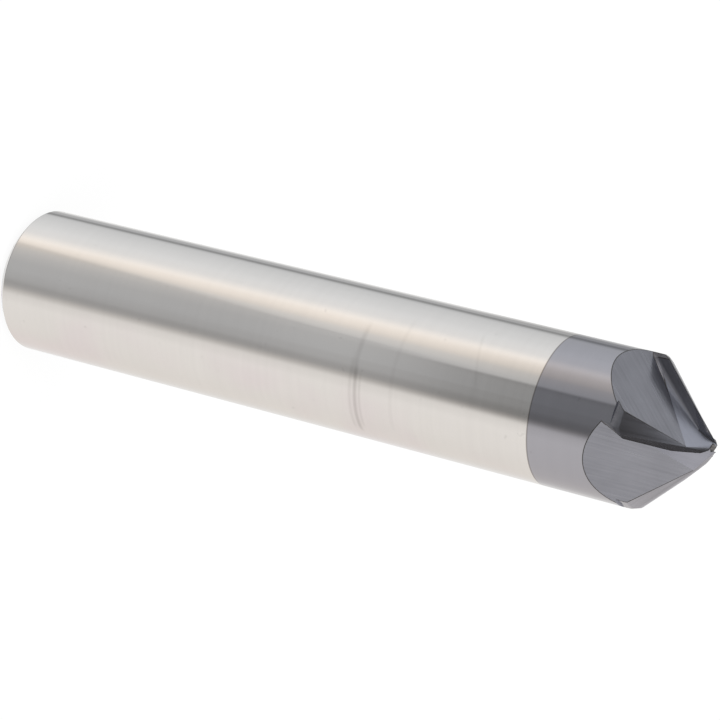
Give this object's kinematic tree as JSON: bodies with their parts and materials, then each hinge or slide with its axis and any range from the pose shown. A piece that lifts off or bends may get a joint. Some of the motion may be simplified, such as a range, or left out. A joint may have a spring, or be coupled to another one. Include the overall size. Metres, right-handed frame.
{
  "type": "chamfer mill",
  "caption": "Solid carbide chamfer mill: a plain round shank with a right-angled, fluted and coated cutting point, for bevelling edges.",
  "frame": {"origin": "centre of the flat back end, which the part stands on", "axes": "+Z along the tool's axis from the back end to the cutting point; +X along the outward direction of one cutting edge"},
  "size_m": [0.019, 0.019, 0.1016],
  "materials": {
    "carbide": "fine ground bare carbide, with a thin dark grey coating over the cutting end"
  },
  "bodies": {
    "root": {"chamfer_mill": "carbide"}
  },
  "joints": []
}
